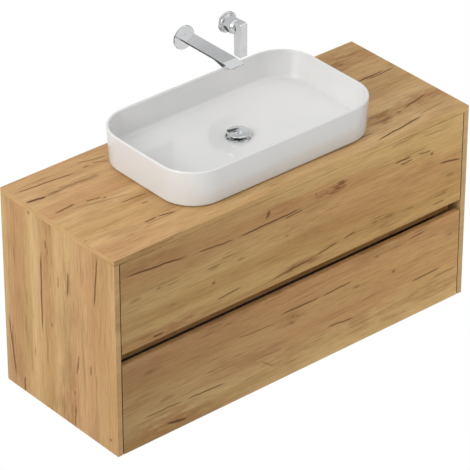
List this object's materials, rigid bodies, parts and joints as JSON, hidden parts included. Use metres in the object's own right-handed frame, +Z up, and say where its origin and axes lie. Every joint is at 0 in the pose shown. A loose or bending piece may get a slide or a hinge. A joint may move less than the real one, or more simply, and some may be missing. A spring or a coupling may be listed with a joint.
{
  "type": "vessel sink on vanity",
  "caption": "Wall-hung oak-look vanity with drawers under a rounded vessel basin, with pop-up waste, bottle trap and a wall-mounted lever mixer tap.",
  "frame": {"origin": "centre of the four wall-screw holes, on the wall plane, midway along the cabinet", "axes": "+X to the right along the cabinet, +Y into the wall, +Z up"},
  "size_m": [1.2, 0.495, 0.842],
  "materials": {
    "oak_decor": "satin laminate, oak grain",
    "carcass_board": "oak laminate, plain inside",
    "drawer_board": "anthracite melamine",
    "zinc_steel": "zinc plated",
    "slide_steel": "zinc plated, brushed",
    "chrome": "polished",
    "white_plastic": "smooth",
    "glazed_ceramic": "white glaze",
    "rubber": "matt",
    "silicone": "translucent grey",
    "brass": "turned",
    "black_plastic": "matt",
    "grey_plastic": "fine texture"
  },
  "bodies": {
    "root": {"worktop": "oak_decor", "side_panel_left": "oak_decor", "side_panel_right": "oak_decor", "grip_rail": "oak_decor", "bottom_panel": "carcass_board", "back_rail_top": "carcass_board", "back_rail_bottom": "carcass_board", "front_stretcher": "carcass_board", "hanger_left": "zinc_steel", "hanger_right": "zinc_steel", "wall_plate_left": "zinc_steel", "wall_plate_right": "zinc_steel", "hanger_screws": "zinc_steel", "slide_upper_left_cabinet": "slide_steel", "slide_upper_right_cabinet": "slide_steel", "slide_lower_left_cabinet": "slide_steel", "slide_lower_right_cabinet": "slide_steel", "waste_body": "chrome", "spout": "chrome", "spout_rosette": "chrome", "handle_rosette": "chrome", "handle_sleeve": "chrome", "trap_coupling_nut": "white_plastic", "trap_inlet_tube": "white_plastic", "trap_body": "white_plastic", "trap_cup": "white_plastic", "trap_outlet_nut": "white_plastic", "trap_outlet_pipe": "white_plastic", "trap_rosette": "white_plastic", "basin": "glazed_ceramic", "basin_seal": "silicone", "waste_gasket": "rubber", "waste_nut": "brass", "spout_aerator": "black_plastic", "cartridge_body": "brass"},
    "upper_drawer": {"upper_front": "oak_decor", "upper_side_left": "drawer_board", "upper_side_right": "drawer_board", "upper_back_left": "drawer_board", "upper_back_right": "drawer_board", "upper_bottom": "drawer_board", "slide_upper_left_drawer": "slide_steel", "slide_upper_right_drawer": "slide_steel", "upper_niche_surround": "grey_plastic"},
    "lower_drawer": {"lower_front": "oak_decor", "lower_side_left": "drawer_board", "lower_side_right": "drawer_board", "lower_back": "drawer_board", "lower_bottom": "drawer_board", "slide_lower_left_drawer": "slide_steel", "slide_lower_right_drawer": "slide_steel"},
    "upper_slide_middles": {"slide_upper_left_middle": "slide_steel", "slide_upper_right_middle": "slide_steel"},
    "lower_slide_middles": {"slide_lower_left_middle": "slide_steel", "slide_lower_right_middle": "slide_steel"},
    "waste_plug": {"waste_plug": "chrome"},
    "mixer_swivel": {"cartridge_carrier": "white_plastic"},
    "mixer_lever": {"cartridge_stem": "brass", "tap_lever": "chrome", "lever_screw": "zinc_steel"}
  },
  "joints": [
    {"name": "upper_drawer_slide", "type": "slide", "parent": "root", "child": "upper_drawer", "axis": [0, -1, 0], "range_m": [0, 0.4]},
    {"name": "lower_drawer_slide", "type": "slide", "parent": "root", "child": "lower_drawer", "axis": [0, -1, 0], "range_m": [0, 0.4]},
    {"name": "upper_middle_slide", "type": "slide", "parent": "root", "child": "upper_slide_middles", "axis": [0, -1, 0], "range_m": [0, 0.2]},
    {"name": "lower_middle_slide", "type": "slide", "parent": "root", "child": "lower_slide_middles", "axis": [0, -1, 0], "range_m": [0, 0.2]},
    {"name": "plug_press", "type": "slide", "parent": "root", "child": "waste_plug", "axis": [0, 0, -1], "range_m": [0, 0.009], "stiffness_N_per_m": 400, "springref_m": -0.01},
    {"name": "mixer_turn", "type": "hinge", "parent": "root", "child": "mixer_swivel", "pos_m": [0.154, -0.03, 0.273], "axis": [0, 1, 0], "range_deg": [-45, 45]},
    {"name": "mixer_lift", "type": "hinge", "parent": "mixer_swivel", "child": "mixer_lever", "pos_m": [0.154, -0.03, 0.273], "axis": [-1, 0, 0], "range_deg": [0, 25]}
  ],
  "couplings": [
    {"joint": "upper_middle_slide", "follows": "upper_drawer_slide", "ratio": 0.5},
    {"joint": "lower_middle_slide", "follows": "lower_drawer_slide", "ratio": 0.5}
  ]
}
